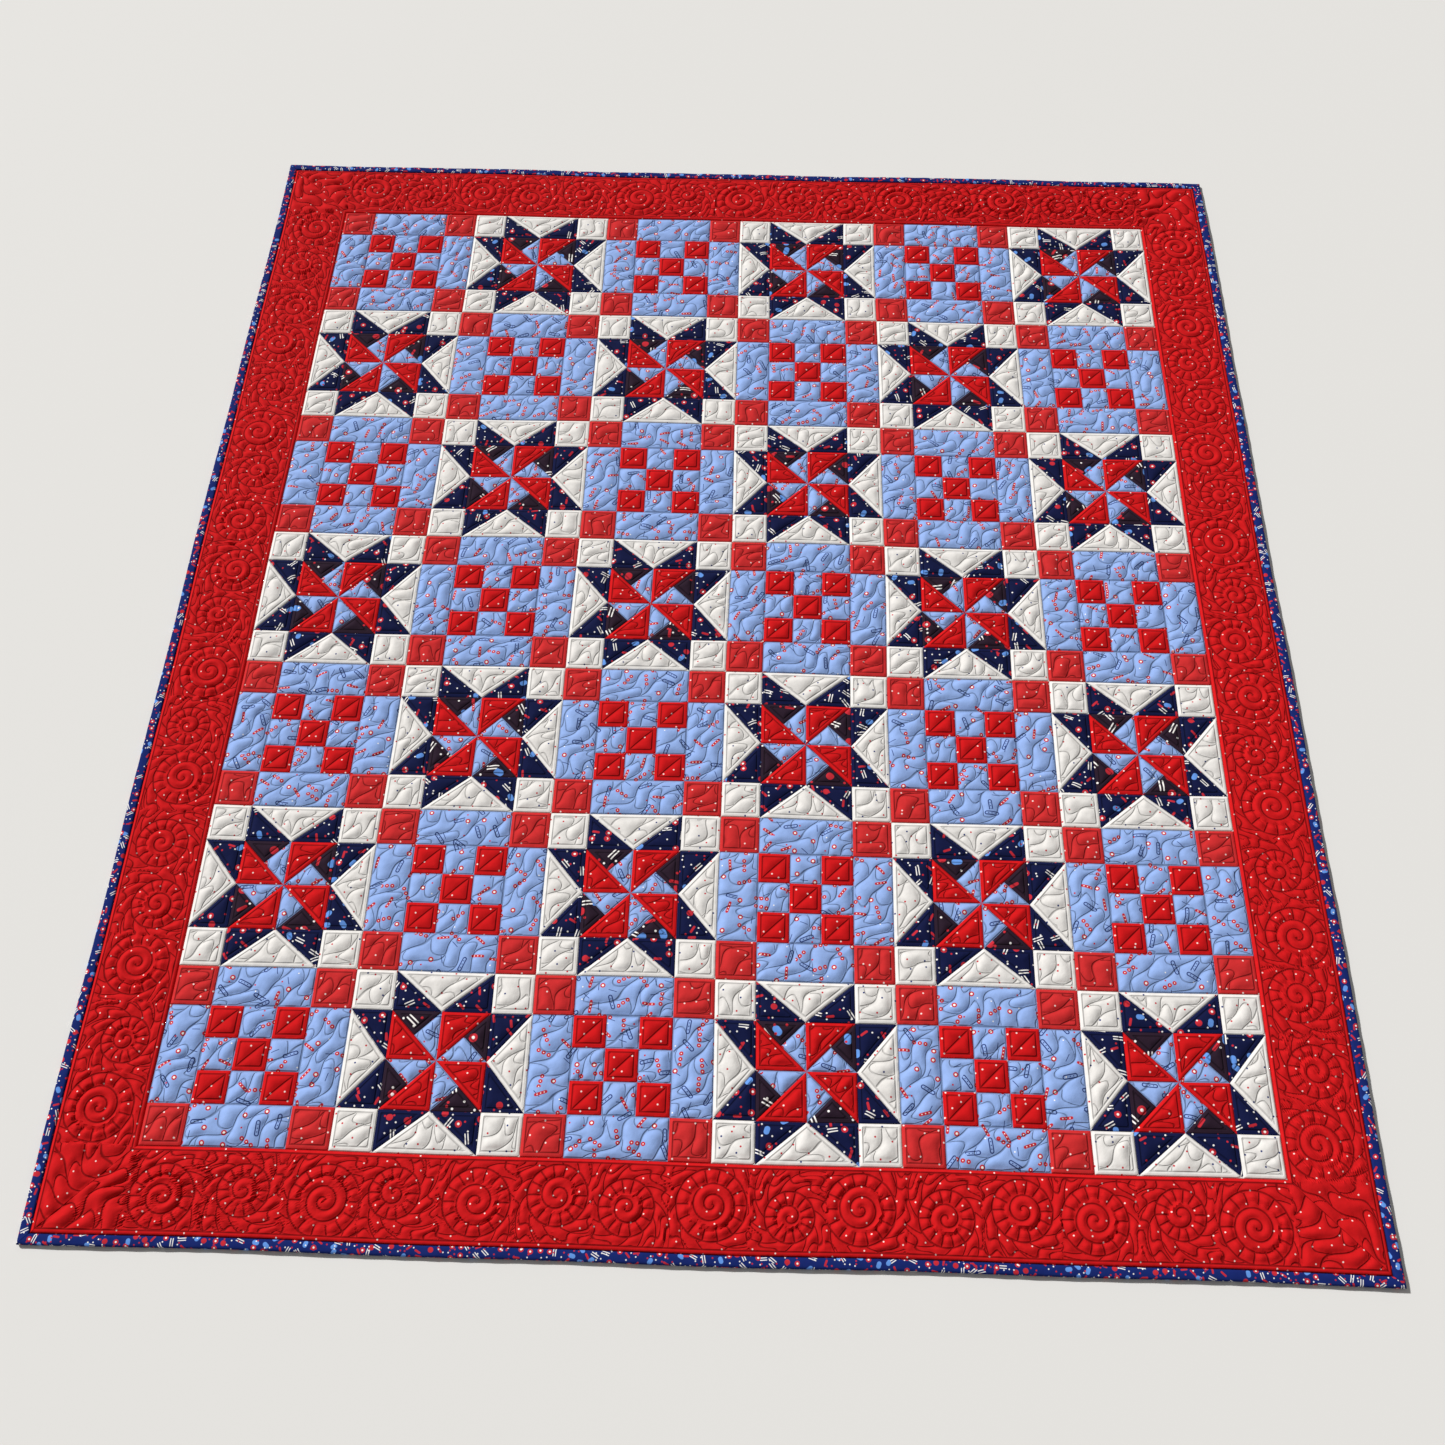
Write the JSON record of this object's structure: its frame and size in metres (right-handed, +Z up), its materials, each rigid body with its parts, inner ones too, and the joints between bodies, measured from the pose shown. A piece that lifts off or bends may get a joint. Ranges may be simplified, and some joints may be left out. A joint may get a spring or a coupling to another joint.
{
  "type": "star quilt blanket",
  "caption": "Flat patchwork quilt of star and chain blocks with a mitred, scroll-quilted border and a folded binding; lies as a blanket or bed cover.",
  "frame": {"origin": "under the middle of the quilt, on the surface that it lies on", "axes": "+Z up out of the face, +Y along the length towards the top edge, +X across the width"},
  "size_m": [1.9624, 2.2418, 0.0101],
  "materials": {
    "patchwork": "matte quilted cotton in cream, light blue, red and navy prints",
    "border_cloth": "matte quilted cotton, red with white pin dots",
    "binding_cloth": "matte folded cotton, navy with a small red, white and blue print"
  },
  "bodies": {
    "root": {"quilt_field": "patchwork", "border_top": "border_cloth", "border_left": "border_cloth", "border_bottom": "border_cloth", "border_right": "border_cloth", "binding_top": "binding_cloth", "binding_left": "binding_cloth", "binding_bottom": "binding_cloth", "binding_right": "binding_cloth"}
  },
  "joints": []
}
